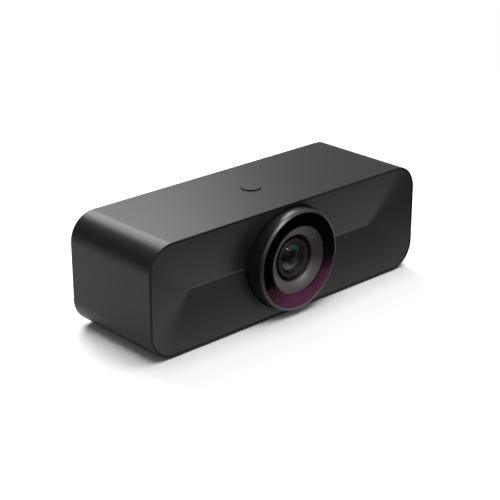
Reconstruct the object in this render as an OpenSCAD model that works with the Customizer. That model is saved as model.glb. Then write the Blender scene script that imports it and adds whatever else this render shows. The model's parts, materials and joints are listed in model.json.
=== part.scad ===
// Conference camera: a bar-shaped housing with rounded ends, a sunken front panel and a
// wide-angle lens behind a flat window. Millimetres, +Z up, the lens looks along -Y.
// The origin lies under the middle of the whole camera, where its feet stand.

/* [Housing] */
// Width of the housing sleeve
body_w = 190; // [176:1:220]
// Height of the housing sleeve
body_h = 60.6; // [60:0.2:70]
// Depth of the housing sleeve, front rim to back rim
body_d = 62.5; // [61:0.5:75]
// Outer corner radius, seen from the front
corner_r = 14.6; // [10:0.2:18]
// Wall of the sleeve
wall_t = 2.2; // [1.8:0.1:2.8]
// Wall left at both rims, outside the panels
rim_t = 0.9; // [0.7:0.05:1.1]
// Depth of the front seat, from the rim to its shoulder
front_seat = 6.5; // [6:0.1:7.2]

/* [Front panel] */
// Gap between a panel's edge and the rim around it
panel_gap = 0.3; // [0.15:0.05:0.35]
// How far the panel's edge lies behind the front rim
panel_recess = 0.9; // [0.5:0.1:1.5]
// How far the valley of the panel lies behind the front rim
valley_depth = 5.5; // [4.5:0.1:6]
// Skin of the front panel
panel_t = 2.2; // [1.8:0.1:2.4]

/* [Lens surround] */
// How far the lens ring lies inside the housing's top and bottom
ring_in = 2.3; // [2.1:0.1:3.8]
// How far the lens ring narrows up to its front
ring_draft = 0.55; // [0.2:0.05:0.8]
// How far the trim ring stands in front of the rim
ring_out = 6; // [5.5:0.1:9]
// Height of the trim ring
trim_h = 1; // [0.8:0.05:1.3]
// Radial width of the trim ring
trim_w = 1.55; // [1.2:0.05:1.8]
// Thickness of the window
window_t = 0.8; // [0.6:0.05:1]
// Thickness of the black mask behind the window
mask_t = 0.3; // [0.2:0.05:0.4]
// Width of the black band on the window
band_w = 7.35; // [6:0.05:9]
// Radius of the hood's throat
hood_throat_r = 12.8; // [12:0.1:14]
// Depth of the hood's cone
hood_cone_h = 3.1; // [2.5:0.1:4]
// Wall of the hood
hood_t = 1.4; // [1.1:0.1:1.8]

/* [Lens] */
// Front radius of the lens barrel
lens_r = 10.6; // [10.2:0.1:11.2]
// How far the lens barrel stands in front of the rim
lens_out = 1.1; // [0.6:0.1:1.3]
// Length of the lens barrel
lens_l = 22.6; // [22.6:0.1:24]
// Thread radius of the lens barrel
thread_r = 6; // [5.8:0.05:6.2]
// How far the retainer covers the front element's edge
sight_lip = 1.2; // [0.8:0.1:1.8]
// Radius of the front element's dome
dome_r = 13; // [12:0.25:16]

/* [Button] */
// Radius of the button
button_r = 5.2; // [4.8:0.1:5.4]
// How far the button stands above the housing
button_up = 0.6; // [0.55:0.05:1]
// Travel of the button
button_travel = 0.5; // [0.3:0.05:0.5]
// Gap around the button
button_gap = 0.3; // [0.2:0.05:0.4]

/* [Rear cover] */
// Thickness of the rear cover
cover_t = 2.2; // [1.8:0.1:2.4]
// How far the rear cover lies inside the back rim
cover_recess = 0.8; // [0.5:0.1:1.2]
// Width of the USB-C opening
port_w = 9; // [8.96:0.02:9.2]
// Height of the USB-C opening
port_h = 3.3; // [3.26:0.02:3.5]
// Width of the lock slot
lock_w = 7; // [6.8:0.1:7.4]
// Height of the lock slot
lock_h = 3; // [2.9:0.1:3.2]
// Where the lock slot lies from the middle
lock_x = 58; // [50:1:62]

/* [Underside] */
// Radius of the tripod thread, 1/4 inch
tripod_r = 3.2; // [3.1:0.05:3.3]
// Depth of the tripod thread
tripod_l = 8.5; // [7:0.1:9]
// Radius of a foot pad
foot_r = 6; // [5:0.25:7]
// How far a foot pad stands below the housing
foot_h = 0.6; // [0.4:0.1:1]
// How far a foot pad's middle lies in from the housing's end
foot_end_in = 23; // [22:0.5:34]
// How far a foot pad's middle lies in from the housing's rims
foot_rim_in = 10; // [8.5:0.25:14]

/* [Boards] */
// Width of the main board
main_w = 124; // [120:1:132]
// Gap between the sensor's connector and the main board
main_front_gap = 2.7; // [2:0.1:4]
// Thickness of the main board
board_t = 1.6; // [1:0.1:2]
// Thickness of the small boards
small_board_t = 1; // [0.8:0.1:1.2]
// Width of the sensor board
sensor_board_w = 36; // [35:0.5:40]
// Height of the sensor board
sensor_board_h = 30; // [29:0.5:33]
// Side of the processor
chip_w = 14; // [12:0.5:17]
// Number of fins on the heat sink
fin_count = 9; // [5:1:11]

/* [Hidden] */
$fn = 96;
hull_fn = 32;
// Overrun of every cut
over = 1;
// Clearance between an inner piece and the sleeve
inner_gap = 0.4;
// Slip clearance of a located piece
slip = 0.1;
// Radial clearance of a screw thread's seat
thread_gap = 0.05;
// Light colours of the pieces
graphite = "#3b3c3e";
black = "#161617";
satin = "#4a4a4c";
board_green = "#1f4d3a";
steel = "#b9bcc0";
brass = "#c9a45a";
glass = "#6f7f96";

// Places along the depth, counted forward from the front rim
rim_y = -(body_d - ring_out) / 2;
axis_z = foot_h + body_h / 2;
top_z = foot_h + body_h;
back_out = -body_d;
rear_seat = cover_recess + cover_t;
cover_in = back_out + rear_seat;
panel_edge_in = rim_t + panel_gap;
panel_inner_in = wall_t + panel_gap;
panel_back = -(valley_depth + panel_t);

// Front panel
hip_x = (body_w - body_h) / 2;
valley_w = 0.4;
panel_lip = 1.5;
ring_gap = 0.35;
boss_r = 3;
boss_in = 21;
boss_x = body_w / 2 - boss_in;
boss_z = 14;
screw_r = 1.1;
screw_clear = 0.2;
screw_head_r = 2;
screw_head_h = 1.2;
screw_bite = 2.4;
// Radius of a screw's six-sided drive, as a share of its thread
drive_share = 0.8;

// Lens surround
ring_r = body_h / 2 - ring_in;
ring_ear_w = 3;
ring_ear_t = 2.6;
ring_ledge_w = 1.85;
ring_tail_r = min(ring_r - ring_gap, body_h / 2 - wall_t - inner_gap);
ring_back = panel_back - ring_ear_t;
window_r = ring_r - ring_draft - trim_w;
ring_bore_r = window_r - ring_ledge_w;
hood_mouth_r = window_r - band_w;
window_front = ring_out - slip;
window_back = window_front - window_t;
mask_back = window_back - mask_t;
trim_back = ring_out - trim_h;
trim_edge_h = 0.25;
hood_flange_t = 1;
hood_tail_l = 5;
ledge_out = mask_back - hood_flange_t;

// Lens
lens_edge = 0.3;
barrel_face_w = 1.3;
head_l = 8;
neck_l = 4.1;
front_wall = 2.2;
neck_in = 2.4;
neck_wall = 1.4;
thread_wall = 1;
rear_wall = 1.8;
rear_lip = 0.6;
neck_r = lens_r - neck_in;
front_bore_r = lens_r - front_wall;
sight_r = front_bore_r - sight_lip;
second_bore_r = neck_r - neck_wall;
middle_bore_r = thread_r - thread_wall;
rear_bore_r = thread_r - rear_wall;
rear_lip_r = rear_bore_r - rear_lip;
rear_lip_t = 0.8;
lens_end = lens_out - lens_l;
retainer_drop = 2.2;
retainer_t = 0.35;
front_room_l = 5.3;
second_room_l = 4.8;
middle_room_l = 5;
sight_out = lens_out - retainer_drop;
front_seat_out = lens_out - front_room_l;
second_seat_out = front_seat_out - second_room_l;
middle_seat_out = second_seat_out - middle_room_l;
front_hollow_r = 8;
hollow_rim_w = 1.2;
front_hollow_mouth_r = sight_r - hollow_rim_w;
spacer_w = 0.8;
spacer_t = 0.8;
second_dome_r = 11;
stop_t = 0.3;
stop_hole_r = 2;
middle_l = 3.6;
rear_l = 2.8;
rear_dome_r = 9;

// Lens holder and sensor
holder_w = 22;
holder_tube_r = 8;
holder_gap = 0.6;
back_focus = 4.4;
holder_tube_top = lens_out - head_l - neck_l - holder_gap;
sensor_face = lens_end - back_focus;
sensor_room_w = 13;
sensor_room_h = 2.4;
filter_w = 10;
filter_t = 0.6;
filter_pocket_t = filter_t + slip;
light_hole_r = 4.5;
sensor_w = 9.6;
sensor_h = 7.6;
sensor_t = 1;
holder_screw_at = 9;
holder_screw_l = 3.4;
sensor_screw_x = 15;
sensor_screw_z = 12.5;
sensor_back = sensor_face - small_board_t;

// Chassis
bulkhead_t = 2;
bulkhead_front = ring_back;
bulkhead_back = bulkhead_front - bulkhead_t;
bulkhead_hole_r = 10;
post_r = 2.3;
pillar_r = 3.4;
pillar_side_in = 11;
pillar_top_in = 12.3;
pillar_x = body_w / 2 - pillar_side_in;
pillar_z = body_h / 2 - pillar_top_in;
pilot_l = 5;
shelf_t = 2;
shelf_w = 140;
shelf_lift = 4.1;
shelf_z = -(body_h / 2 - wall_t - shelf_lift);
cable_hole_w = 7;
cable_hole_h = 3;
cable_hole_in = 13.3;
cable_hole_z = body_h / 2 - cable_hole_in;

// Connectors and flat cables
connector_w = 12;
connector_d = 3.4;
connector_t = 1.4;
cable_t = 0.3;
cable_w = 10;
thin_cable_w = 4;
cable_gap = 1;

// Main board: it fills the room between the sensor's connector and the rear cover
main_post_h = 7.4;
main_z = shelf_z + shelf_t + main_post_h;
main_back_gap = 1.5;
main_back = cover_in + main_back_gap;
main_front = sensor_back - connector_t - main_front_gap;
main_d = main_front - main_back;
main_top = main_z + board_t;
main_screw_x = 56;
main_screw_in = 3.5;
main_post_r = 2.6;
chip_x = -22;
chip_out = main_back + main_d / 2;
chip_t = 1.4;
pad_t = 0.5;
sink_w = 34;
sink_in = 2.5;
sink_d = main_d - 2 * sink_in;
sink_base_t = 2;
sink_h = 9;
fin_t = 1;
memory_w = 8;
memory_d = 11;
memory_t = 1;
memory_x = [-46, 18];
sensor_cable_lift = 5.5;
sensor_cable_z = main_top + sensor_cable_lift;
main_cable_in = 3;

// USB-C socket
port_x = 34;
port_clear = 0.16;
port_wall = 0.35;
port_l = 8.6;
port_proud_in = 0.5;
tongue_side = 1.15;
tongue_w = port_w - 2 * tongue_side;
tongue_h = 0.7;
tongue_back_t = 1;
port_z = main_top + port_h / 2 - port_clear / 2;

// Button and its switch, measured down from the housing's top
button_y = rim_y + body_d / 2;
button_skirt_w = 1.1;
button_skirt_t = 0.9;
button_stop = 0.15;
button_edge = 0.5;
stem_r = 1.7;
stem_l = 5;
button_under = wall_t + button_stop + button_skirt_t;
stem_end = button_under + stem_l;
plunger_r = 1.6;
plunger_gap = 0.3;
plunger_left = 0.6;
plunger_show = button_travel + plunger_left;
plunger_foot_r = 2;
plunger_foot_t = 0.8;
switch_w = 6;
switch_h = 3.4;
switch_base_t = 0.6;
switch_lid_t = 0.4;
switch_room_r = 2.4;
switch_lid_gap = 0.3;
plunger_foot_top = switch_h - switch_lid_t - switch_lid_gap;
snap_r = switch_room_r - slip;
snap_h = plunger_foot_top - plunger_foot_t - slip - switch_base_t;
snap_t = 0.15;
switch_board_w = 25.4;
switch_board_d = 8.4;
switch_post_x = 10.5;
switch_post_r = 2.4;
switch_board_top = stem_end + plunger_show + switch_h;
button_land = 2;
button_cable_x = connector_w / 2 + cable_gap + thin_cable_w / 2;

// Microphones
mic_in = 45;
mic_x = body_w / 2 - mic_in;
mic_top_in = 8.8;
mic_z = body_h / 2 - mic_top_in;
mic_boss_r = 3.6;
mic_port_r = 0.8;
gasket_l = 2.5;
mic_board_w = 13;
mic_board_h = 10;
mic_w = 3.6;
mic_h = 2.8;
mic_t = 1;
gasket_r = 3.6;
gasket_wall = 1.1;
mic_front = bulkhead_front + small_board_t;
mic_boss_back = mic_front + gasket_l;
mic_port_out = -panel_recess - panel_t;

// Rear cover and lock bracket
rear_head_r = 2.6;
rear_head_h = 1.1;
rear_screw_l = 8;
bracket_w = 16;
bracket_h = 10;
bracket_t = 1.2;
lock_z = 0;

// Underside
insert_r = 5;
tripod_boss_r = 7.5;
tripod_boss_top = 1.2;
foot_sink = 1;
foot_x = body_w / 2 - foot_end_in;
foot_y = body_d / 2 - foot_rim_in;

// The frame of the lens axis: x across, y up, z forward from the given depth
module at(out) { translate([0, rim_y - out, axis_z]) rotate([90, 0, 0]) children(); }

// A flat shape, seen from the front, given thickness from back to front
module slab(back, front) { at(back) linear_extrude(height = front - back) children(); }

// The rounded outline of the housing, taken in by an inset
module outline(inset, fn = $fn) {
    w = body_w - 2 * inset;
    h = body_h - 2 * inset;
    r = corner_r - inset;
    square([w - 2 * r, h], center = true);
    square([w, h - 2 * r], center = true);
    for (side = [-1, 1], lift = [-1, 1])
        translate([side * (w / 2 - r), lift * (h / 2 - r)]) circle(r = r, $fn = fn);
}

// The same shape at four places, mirrored about the lens axis
module four_at(x, z) {
    for (side = [-1, 1], lift = [-1, 1]) translate([side * x, lift * z]) children();
}

module two_at(x, z = 0) {
    for (side = [-1, 1]) translate([side * x, z]) children();
}

// A box in the frame of the lens axis, by its ranges
module span(x, z, out) {
    slab(out[0], out[1]) translate([x[0], z[0]]) square([x[1] - x[0], z[1] - z[0]]);
}

// An upright cylinder between two heights of the model
module upright(x, y, low, high, r) {
    translate([x, y, low]) cylinder(r = r, h = high - low);
}

// Pan-head screw pointing forward, its head's underside at the given depth
module screw_forward(head_at, length, r = screw_r, head_r = screw_head_r, head_h = screw_head_h) {
    at(head_at - head_h) {
        difference() {
            cylinder(r = head_r, h = head_h);
            translate([0, 0, -over]) cylinder(r = r * drive_share, h = over + head_h / 2, $fn = 6);
        }
    }
    slab(head_at - slip / 2, head_at + length) circle(r = r);
}

// Pan-head screw pointing up or down, its head's underside at the origin
module board_screw(length, r = screw_r, head_r = screw_head_r, head_h = screw_head_h) {
    difference() {
        union() {
            translate([0, 0, -head_h]) cylinder(r = head_r, h = head_h);
            translate([0, 0, -slip / 2]) cylinder(r = r, h = length + slip / 2);
        }
        translate([0, 0, -head_h - over])
            cylinder(r = r * drive_share, h = over + head_h / 2, $fn = 6);
    }
}

module housing_sleeve() {
    color(graphite) difference() {
        union() {
            difference() {
                slab(back_out, 0) outline(0);
                slab(back_out - over, over) outline(wall_t);
                slab(-front_seat, over) outline(rim_t);
                slab(back_out - over, cover_in) outline(rim_t);
            }
            upright(0, 0, foot_h + wall_t / 2, foot_h + tripod_l + tripod_boss_top, tripod_boss_r);
            for (side = [-1, 1])
                upright(side * switch_post_x, button_y, top_z - switch_board_top,
                    top_z - wall_t / 2, switch_post_r);
        }
        upright(0, 0, foot_h - over, foot_h + tripod_l, insert_r);
        upright(0, button_y, top_z - wall_t - over, top_z + over, button_r + button_gap);
        for (side = [-1, 1])
            upright(side * switch_post_x, button_y, top_z - switch_board_top - over,
                top_z - switch_board_top + pilot_l, screw_r);
        for (side = [-1, 1], way = [-1, 1])
            upright(side * foot_x, button_y + way * foot_y, foot_h - over,
                foot_h + foot_sink, foot_r + slip);
    }
}

// The hopper in the front panel, moved back by the given shift
module hopper(shift) {
    hull() {
        slab(-panel_recess - shift, over) outline(panel_edge_in, hull_fn);
        at(-valley_depth - shift) translate([-hip_x, -valley_w / 2, 0])
            cube([2 * hip_x, valley_w, valley_w]);
    }
}

module front_panel() {
    color(graphite) difference() {
        union() {
            difference() {
                union() {
                    slab(-front_seat, -panel_recess) outline(panel_edge_in);
                    slab(panel_back, -front_seat + slip) outline(panel_inner_in);
                }
                difference() {
                    slab(panel_back - over, -panel_recess) outline(panel_inner_in + panel_lip);
                    hopper(panel_t);
                    slab(panel_back - 2 * over, over) circle(r = ring_r + ring_gap + panel_t);
                }
            }
            slab(bulkhead_front, -valley_depth) four_at(boss_x, boss_z) circle(r = boss_r);
            slab(mic_boss_back, mic_port_out) two_at(mic_x, mic_z) circle(r = mic_boss_r);
        }
        hopper(0);
        slab(bulkhead_front - over, over) circle(r = ring_r + ring_gap);
        slab(bulkhead_front - over, bulkhead_front + screw_bite + screw_clear)
            four_at(boss_x, boss_z) circle(r = screw_r);
        slab(mic_boss_back - over, mic_port_out) two_at(mic_x, mic_z) circle(r = mic_port_r);
        slab(mic_port_out - mic_port_r, mic_port_out + mic_port_r)
            two_at(mic_x, mic_z) translate([-mic_port_r, 0]) square([2 * mic_port_r, mic_top_in]);
    }
}

// The ring narrows forward; its ears, cut flat above and below, lie behind the front panel
module lens_ring() {
    front_r = ring_r - ring_draft;
    color(black) {
        at(0) rotate_extrude() polygon([
            [ring_bore_r, ring_back],
            [ring_tail_r, ring_back],
            [ring_tail_r, -valley_depth],
            [ring_r, -valley_depth],
            [front_r, trim_back],
            [window_r + slip, trim_back],
            [window_r + slip, ledge_out],
            [ring_bore_r, ledge_out]]);
        slab(ring_back, panel_back) difference() {
            intersection() {
                circle(r = ring_r + ring_ear_w);
                square([body_w, 2 * ring_tail_r - ring_ear_w], center = true);
            }
            circle(r = ring_tail_r - ring_ear_w / 2);
        }
    }
}

module trim_ring() {
    front_r = ring_r - ring_draft;
    crest_w = trim_edge_h;
    color(satin) at(0) rotate_extrude() polygon([
        [window_r, trim_back],
        [front_r, trim_back],
        [front_r, trim_back + trim_edge_h],
        [window_r + crest_w, ring_out],
        [window_r, ring_out]]);
}

module window() {
    color(glass, 0.4) slab(window_back, window_front) circle(r = window_r - slip / 2);
}

module mask_ring() {
    color(black) slab(mask_back, window_back) difference() {
        circle(r = window_r);
        circle(r = hood_mouth_r);
    }
}

module lens_hood() {
    throat_out = mask_back - hood_cone_h;
    color(satin) at(0) rotate_extrude() polygon([
        [hood_mouth_r, mask_back],
        [window_r, mask_back],
        [window_r, ledge_out],
        [hood_mouth_r + hood_t, ledge_out],
        [hood_throat_r + hood_t, throat_out - hood_t / 2],
        [hood_throat_r + hood_t, throat_out - hood_tail_l],
        [hood_throat_r, throat_out - hood_tail_l],
        [hood_throat_r, throat_out]]);
}

module lens_barrel() {
    face_r = lens_r - barrel_face_w;
    color(black) at(0) rotate_extrude() polygon([
        [face_r - lens_edge, lens_out - lens_edge],
        [face_r, lens_out],
        [lens_r - lens_edge, lens_out],
        [lens_r, lens_out - lens_edge],
        [lens_r, lens_out - head_l],
        [neck_r, lens_out - head_l],
        [neck_r, lens_out - head_l - neck_l],
        [thread_r, lens_out - head_l - neck_l],
        [thread_r, lens_end],
        [rear_lip_r, lens_end],
        [rear_lip_r, lens_end + rear_lip_t],
        [rear_bore_r, lens_end + rear_lip_t],
        [rear_bore_r, middle_seat_out],
        [middle_bore_r, middle_seat_out],
        [middle_bore_r, second_seat_out],
        [second_bore_r, second_seat_out],
        [second_bore_r, front_seat_out],
        [front_bore_r, front_seat_out],
        [front_bore_r, sight_out - slip],
        [face_r - lens_edge, sight_out - slip]]);
}

// Threaded ring that holds the front element, sloping in to the glass
module lens_retainer() {
    outer_r = lens_r - barrel_face_w - lens_edge;
    color(black) at(0) rotate_extrude() polygon([
        [sight_r, sight_out],
        [sight_r, sight_out + retainer_t],
        [outer_r - lens_edge, lens_out - lens_edge],
        [outer_r, lens_out - lens_edge],
        [outer_r, sight_out - slip],
        [front_bore_r, sight_out - slip],
        [front_bore_r, sight_out]]);
}

module front_element() {
    dome_at = sight_out - slip - sqrt(dome_r * dome_r - sight_r * sight_r);
    hollow_at = front_seat_out
        - sqrt(front_hollow_r * front_hollow_r - front_hollow_mouth_r * front_hollow_mouth_r);
    color(glass, 0.5) difference() {
        intersection() {
            slab(front_seat_out, lens_out + over) circle(r = front_bore_r - slip / 2);
            at(dome_at) sphere(r = dome_r);
        }
        at(hollow_at) sphere(r = front_hollow_r);
    }
}

module element_spacer() {
    color(black) slab(front_seat_out - spacer_t, front_seat_out) difference() {
        circle(r = second_bore_r - slip / 2);
        circle(r = second_bore_r - spacer_w);
    }
}

module second_element() {
    front = front_seat_out - spacer_t;
    r = second_bore_r - slip / 2;
    inner_r = second_bore_r - spacer_w;
    color(glass, 0.5) intersection() {
        slab(second_seat_out, front + over) circle(r = r);
        at(front - sqrt(second_dome_r * second_dome_r - inner_r * inner_r)) sphere(r = second_dome_r);
    }
}

module aperture_stop() {
    front = middle_seat_out + middle_l + stop_t;
    color(black) slab(front - stop_t, front) difference() {
        circle(r = middle_bore_r - slip / 2);
        circle(r = stop_hole_r);
    }
}

module middle_element() {
    color(glass, 0.5) slab(middle_seat_out, middle_seat_out + middle_l)
        circle(r = middle_bore_r - slip / 2);
}

module rear_element() {
    back = lens_end + rear_lip_t;
    edge_r = rear_bore_r - slip / 2;
    color(glass, 0.5) intersection() {
        slab(back, back + rear_l) circle(r = edge_r);
        at(back + rear_l / 2 - sqrt(rear_dome_r * rear_dome_r - edge_r * edge_r)) sphere(r = rear_dome_r);
    }
}

module lens_holder() {
    filter_front = sensor_face + sensor_room_h + filter_pocket_t;
    color(black) difference() {
        union() {
            slab(lens_end - slip, holder_tube_top) circle(r = holder_tube_r);
            slab(sensor_face, lens_end) square(holder_w, center = true);
        }
        slab(lens_end - slip, holder_tube_top + over) circle(r = thread_r + thread_gap);
        slab(sensor_face, lens_end) circle(r = light_hole_r);
        slab(sensor_face - over, sensor_face + sensor_room_h) square(sensor_room_w, center = true);
        slab(sensor_face, filter_front) square(filter_w + 2 * slip, center = true);
        slab(sensor_face - over, sensor_face + holder_screw_l)
            for (side = [-1, 1]) translate([side * holder_screw_at, -side * holder_screw_at])
                circle(r = screw_r);
    }
}

module holder_screws() {
    color(steel) for (side = [-1, 1])
        translate([side * holder_screw_at, 0, -side * holder_screw_at])
            screw_forward(sensor_back, small_board_t + holder_screw_l - screw_clear);
}

module ir_filter() {
    front = sensor_face + sensor_room_h + filter_pocket_t;
    color("#7fb3c9", 0.6) slab(front - filter_t, front) square(filter_w, center = true);
}

module image_sensor() {
    color("#20242c") slab(sensor_face, sensor_face + sensor_t)
        square([sensor_w, sensor_h], center = true);
}

module sensor_board() {
    color(board_green) slab(sensor_back, sensor_face) difference() {
        square([sensor_board_w, sensor_board_h], center = true);
        four_at(sensor_screw_x, sensor_screw_z) circle(r = screw_r + screw_clear);
        for (side = [-1, 1])
            translate([side * holder_screw_at, -side * holder_screw_at])
                circle(r = screw_r + screw_clear);
    }
}

module sensor_screws() {
    color(steel) for (side = [-1, 1], lift = [-1, 1])
        translate([side * sensor_screw_x, 0, lift * sensor_screw_z])
            screw_forward(sensor_back, small_board_t + screw_bite);
}

// Inner frame: a bulkhead behind the front panel, a shelf and four pillars for the rear cover
module chassis() {
    color("#2a2b2d") difference() {
        union() {
            slab(bulkhead_back, bulkhead_front) outline(wall_t + inner_gap);
            slab(sensor_face, bulkhead_back + slip)
                four_at(sensor_screw_x, sensor_screw_z) circle(r = post_r);
            slab(cover_in, bulkhead_back + slip) four_at(pillar_x, pillar_z) circle(r = pillar_r);
            span([-shelf_w / 2, shelf_w / 2], [shelf_z, shelf_z + shelf_t],
                [cover_in, bulkhead_back + slip]);
            for (side = [-1, 1], out = [main_front - main_screw_in, main_back + main_screw_in])
                upright(side * main_screw_x, rim_y - out, axis_z + shelf_z + shelf_t / 2,
                    axis_z + main_z, main_post_r);
        }
        slab(bulkhead_back - over, bulkhead_front + over) circle(r = bulkhead_hole_r);
        slab(bulkhead_back - over, bulkhead_front + over)
            four_at(boss_x, boss_z) circle(r = screw_r + screw_clear);
        slab(bulkhead_back - over, bulkhead_front + over)
            two_at(mic_x, cable_hole_z) square([cable_hole_w, cable_hole_h], center = true);
        slab(sensor_face - over, sensor_face + screw_bite + screw_clear)
            four_at(sensor_screw_x, sensor_screw_z) circle(r = screw_r);
        slab(cover_in - over, cover_in + rear_screw_l) four_at(pillar_x, pillar_z) circle(r = screw_r);
        upright(0, 0, axis_z + shelf_z - over, axis_z + shelf_z + shelf_t + over,
            tripod_boss_r + inner_gap);
        for (side = [-1, 1], out = [main_front - main_screw_in, main_back + main_screw_in])
            upright(side * main_screw_x, rim_y - out, axis_z + main_z - pilot_l,
                axis_z + main_z + over, screw_r);
    }
}

module panel_screws() {
    color(steel) for (side = [-1, 1], lift = [-1, 1])
        translate([side * boss_x, 0, lift * boss_z])
            screw_forward(bulkhead_back, bulkhead_t + screw_bite);
}

module microphone_boards() {
    color(board_green) slab(bulkhead_front, mic_front)
        two_at(mic_x, mic_z - mic_boss_r / 2) square([mic_board_w, mic_board_h], center = true);
}

module microphones() {
    color(steel) slab(mic_front, mic_front + mic_t)
        two_at(mic_x, mic_z) square([mic_w, mic_h], center = true);
}

module microphone_gaskets() {
    color(black) slab(mic_front, mic_boss_back) two_at(mic_x, mic_z) difference() {
        circle(r = gasket_r);
        circle(r = gasket_r - gasket_wall);
    }
}

// Flat cable down the back of the bulkhead and onto the main board
module microphone_cables() {
    low = main_top;
    color("#b07a3c") for (side = [-1, 1]) {
        x = [side * mic_x - thin_cable_w / 2, side * mic_x + thin_cable_w / 2];
        high = cable_hole_z;
        span(x, [high, high + cable_t], [bulkhead_back - 2 * cable_t, bulkhead_front]);
        span(x, [low, high + cable_t], [bulkhead_back - 2 * cable_t, bulkhead_back - cable_t]);
        span(x, [low, low + cable_t], [main_front - main_cable_in, bulkhead_back - cable_t]);
    }
}

module main_board() {
    color(board_green) difference() {
        span([-main_w / 2, main_w / 2], [main_z, main_top], [main_back, main_front]);
        for (side = [-1, 1], out = [main_front - main_screw_in, main_back + main_screw_in])
            upright(side * main_screw_x, rim_y - out, axis_z + main_z - over, axis_z + main_top + over,
                screw_r + screw_clear);
    }
}

module main_board_screws() {
    color(steel) for (side = [-1, 1], out = [main_front - main_screw_in, main_back + main_screw_in])
        translate([side * main_screw_x, rim_y - out, axis_z + main_top])
            mirror([0, 0, 1]) board_screw(board_t + screw_bite);
}

module processor() {
    color(black) span([chip_x - chip_w / 2, chip_x + chip_w / 2], [main_top, main_top + chip_t],
        [chip_out - chip_w / 2, chip_out + chip_w / 2]);
}

module thermal_pad() {
    low = main_top + chip_t;
    color("#8d97a3") span([chip_x - chip_w / 2, chip_x + chip_w / 2], [low, low + pad_t],
        [chip_out - chip_w / 2, chip_out + chip_w / 2]);
}

module heat_sink() {
    low = main_top + chip_t + pad_t;
    left = chip_x - sink_w / 2;
    pitch = (sink_w - fin_t) / (fin_count - 1);
    depth = [chip_out - sink_d / 2, chip_out + sink_d / 2];
    color(steel) {
        span([left, left + sink_w], [low, low + sink_base_t], depth);
        for (i = [0 : fin_count - 1])
            span([left + i * pitch, left + i * pitch + fin_t], [low + sink_base_t / 2, low + sink_h],
                depth);
    }
}

module memory_chips() {
    color(black) for (x = memory_x)
        span([x - memory_w / 2, x + memory_w / 2], [main_top, main_top + memory_t],
            [chip_out - memory_d / 2, chip_out + memory_d / 2]);
}

// Sockets of the sensor's flat cable, one on each board
module board_connectors() {
    x = [-connector_w / 2, connector_w / 2];
    color("#d8d4c8") {
        span(x, [sensor_cable_z - connector_d, sensor_cable_z], [sensor_back - connector_t, sensor_back]);
        span(x, [main_top, main_top + connector_t], [main_front - connector_d, main_front]);
    }
}

module sensor_cable() {
    x = [-cable_w / 2, cable_w / 2];
    start = sensor_back - connector_t;
    low = main_top + connector_t;
    color("#b07a3c") {
        span(x, [low, sensor_cable_z - cable_t], [start - cable_t, start]);
        span(x, [low, low + cable_t], [main_front - connector_d, start]);
    }
}

module port_outline(grow) {
    w = port_w - port_clear + 2 * grow;
    h = port_h - port_clear + 2 * grow;
    square([w - h, h], center = true);
    two_at((w - h) / 2) circle(r = h / 2);
}

module usb_socket() {
    back = cover_in - cover_t + port_proud_in;
    color(steel) difference() {
        slab(back, back + port_l) translate([port_x, port_z]) port_outline(0);
        slab(back - over, back + port_l - tongue_back_t)
            translate([port_x, port_z]) port_outline(-port_wall);
    }
}

module usb_tongue() {
    back = cover_in - cover_t + port_proud_in;
    color(black) slab(back + tongue_back_t, back + port_l - tongue_back_t)
        translate([port_x, port_z]) square([tongue_w, tongue_h], center = true);
}

module button_cap() {
    color(graphite) translate([0, button_y, top_z]) {
        rotate_extrude() polygon([
            [0, -button_under],
            [button_r + button_skirt_w, -button_under],
            [button_r + button_skirt_w, -button_under + button_skirt_t],
            [button_r, -button_under + button_skirt_t],
            [button_r, button_up - button_edge / 2],
            [button_r - button_edge / 2, button_up],
            [0, button_up]]);
        translate([0, 0, -stem_end]) cylinder(r = stem_r, h = stem_l + slip);
    }
}

module button_board() {
    color(board_green) translate([0, button_y, top_z - switch_board_top - small_board_t]) difference() {
        translate([-switch_board_w / 2, -switch_board_d / 2, 0])
            cube([switch_board_w, switch_board_d, small_board_t]);
        for (side = [-1, 1])
            translate([side * switch_post_x, 0, -over])
                cylinder(r = screw_r + screw_clear, h = small_board_t + 2 * over);
    }
}

module button_screws() {
    color(steel) for (side = [-1, 1])
        translate([side * switch_post_x, button_y, top_z - switch_board_top - small_board_t])
            board_screw(small_board_t + screw_bite);
}

module switch_body() {
    color(steel) translate([0, button_y, top_z - switch_board_top]) difference() {
        translate([-switch_w / 2, -switch_w / 2, 0]) cube([switch_w, switch_w, switch_h]);
        translate([0, 0, switch_base_t])
            cylinder(r = switch_room_r, h = switch_h - switch_base_t - switch_lid_t);
        translate([0, 0, switch_base_t]) cylinder(r = plunger_r + plunger_gap, h = switch_h);
    }
}

module switch_plunger() {
    color(black) translate([0, button_y, top_z - switch_board_top]) {
        translate([0, 0, plunger_foot_top - plunger_foot_t])
            cylinder(r = plunger_foot_r, h = plunger_foot_t);
        translate([0, 0, plunger_foot_top - slip])
            cylinder(r = plunger_r, h = switch_h + plunger_show - plunger_foot_top + slip);
    }
}

// Snap dome under the plunger: a shallow shell standing on the switch's floor
module switch_dome() {
    ball_r = (snap_r * snap_r + snap_h * snap_h) / (2 * snap_h);
    color(brass) translate([0, button_y, top_z - switch_board_top + switch_base_t]) difference() {
        intersection() {
            cylinder(r = snap_r, h = snap_h + over);
            translate([0, 0, snap_h - ball_r]) sphere(r = ball_r);
        }
        translate([0, 0, snap_h - ball_r - snap_t]) sphere(r = ball_r);
    }
}

// Flat cable from the button's board down to the main board
module button_cable() {
    x = [button_cable_x - thin_cable_w / 2, button_cable_x + thin_cable_w / 2];
    high = top_z - switch_board_top - small_board_t - axis_z;
    start = -body_d / 2 - switch_board_d / 2;
    color("#b07a3c") {
        span(x, [high - cable_t, high], [start - cable_t, start + button_land]);
        span(x, [main_top, high], [start - cable_t, start]);
        span(x, [main_top, main_top + cable_t], [start - main_cable_in, start]);
    }
}

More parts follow.
